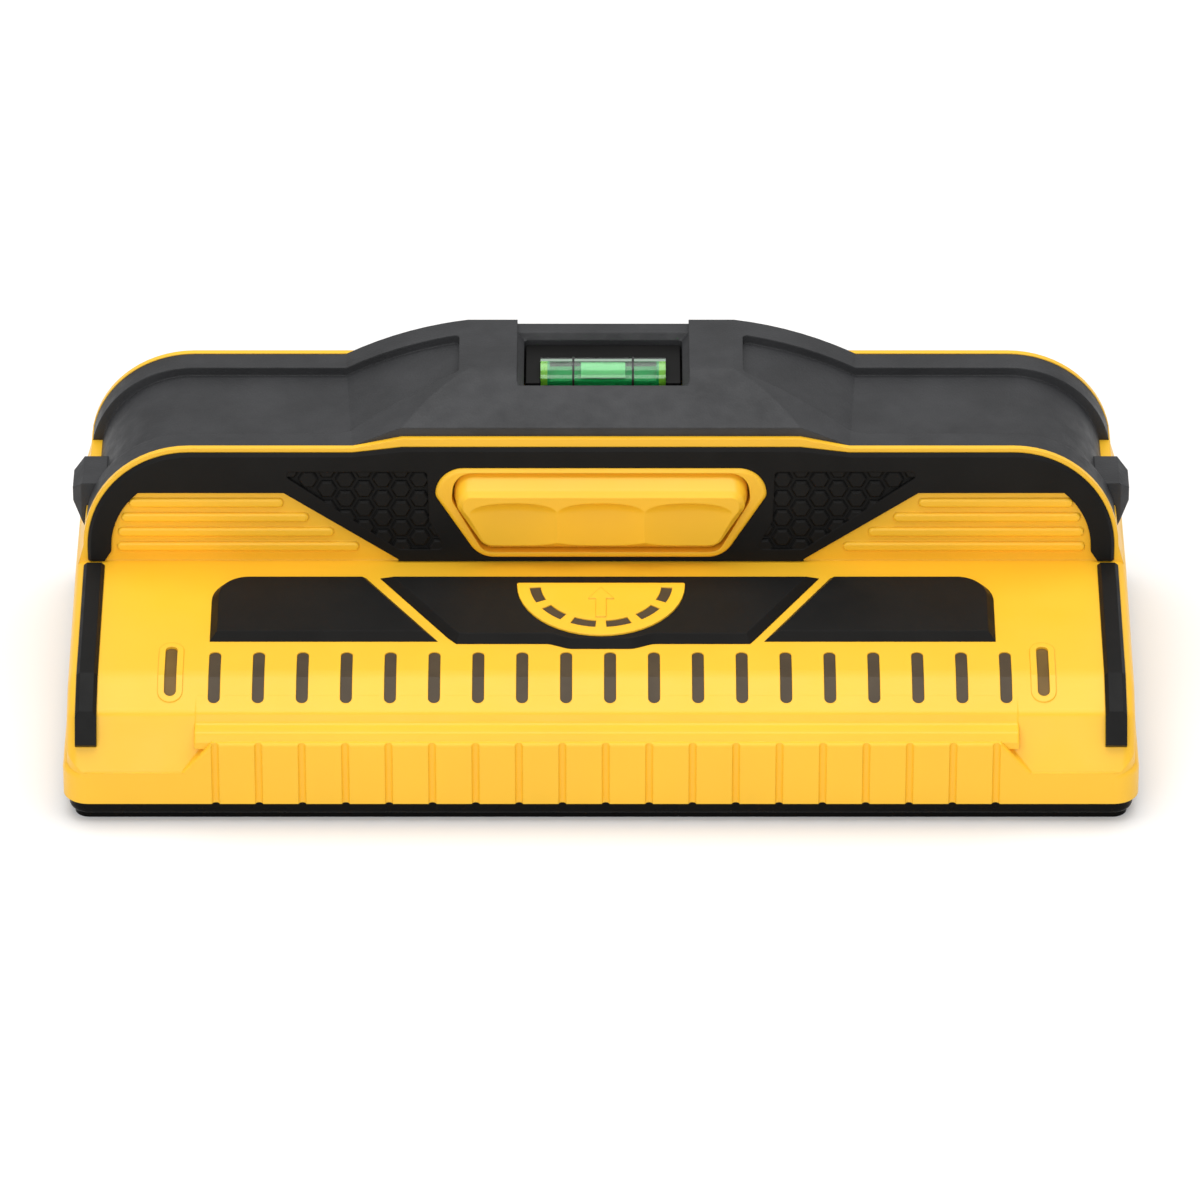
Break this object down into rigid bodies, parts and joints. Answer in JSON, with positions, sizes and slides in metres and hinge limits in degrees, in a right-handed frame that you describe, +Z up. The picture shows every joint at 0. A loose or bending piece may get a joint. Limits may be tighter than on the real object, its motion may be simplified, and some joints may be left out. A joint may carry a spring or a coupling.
{
  "type": "wall scanner with level vial",
  "caption": "Wide handheld wall scanner with a row of indicator windows, a notched ruler edge, a grip with a built-in level vial, and a push button on the front.",
  "frame": {"origin": "middle of the base, on the surface that the tool stands on", "axes": "+X along the tool to the user's right, +Y away from the user, +Z up"},
  "size_m": [0.2486, 0.113, 0.0713],
  "materials": {
    "shell_yellow": "satin moulded",
    "button_yellow": "satin moulded",
    "base_black": "semi-gloss",
    "glide_black": "semi-gloss, low friction",
    "screw_steel": "zinc plated",
    "grip_rubber": "fine grained",
    "trim_black": "satin",
    "deck_black": "matte, fine texture",
    "vial_acrylic": "clear polished",
    "cap_green": "polished",
    "vial_green": "tinted liquid",
    "bubble_clear": "clear",
    "ring_black": "printed line",
    "switch_black": "matte",
    "lens_smoke": "smoked translucent",
    "lens_amber": "amber translucent",
    "board_green": "solder mask",
    "led_white": "clear resin",
    "copper": "bare copper",
    "cell_jacket": "plain jacket",
    "contact_steel": "nickel plated"
  },
  "bodies": {
    "housing": {"main_shell": "shell_yellow", "base_plate": "base_black", "glide_pad": "glide_black", "base_screws": "screw_steel", "top_grip": "grip_rubber", "side_pad_left": "grip_rubber", "side_pad_right": "grip_rubber", "vial_cradle": "trim_black", "vial_tube": "vial_acrylic", "vial_end_caps": "cap_green", "vial_liquid": "vial_green", "vial_rings": "ring_black", "front_bezel": "trim_black", "button_surround": "shell_yellow", "button_switch": "switch_black", "switch_board": "board_green", "deck_pad_left": "deck_black", "deck_pad_right": "deck_black", "deck_pad_centre": "deck_black", "dial_insert": "shell_yellow", "dial_windows": "lens_smoke", "led_windows": "lens_smoke", "outer_windows": "lens_amber", "corner_strip_right": "trim_black", "corner_strip_left": "trim_black", "main_board": "board_green", "board_screws": "screw_steel", "leds": "led_white", "sensor_plates": "copper", "board_chips": "switch_black", "buzzer": "switch_black", "battery_tray": "base_black", "batteries": "cell_jacket", "battery_contacts": "contact_steel"},
    "button": {"power_button": "button_yellow", "switch_plunger": "switch_black"},
    "bubble": {"vial_bubble": "bubble_clear"},
    "door": {"battery_door": "shell_yellow"}
  },
  "joints": [
    {"name": "button_press", "type": "slide", "parent": "housing", "child": "button", "axis": [0, 0.9954, -0.0958], "range_m": [0, 0.0015], "stiffness_N_per_m": 800},
    {"name": "bubble_slide", "type": "slide", "parent": "housing", "child": "bubble", "axis": [1, 0, 0], "range_m": [-0.007, 0.007], "stiffness_N_per_m": 0.5},
    {"name": "door_hinge", "type": "hinge", "parent": "housing", "child": "door", "pos_m": [0, 0.0519, 0.0396], "axis": [-1, 0, 0], "range_deg": [0, 80]}
  ]
}
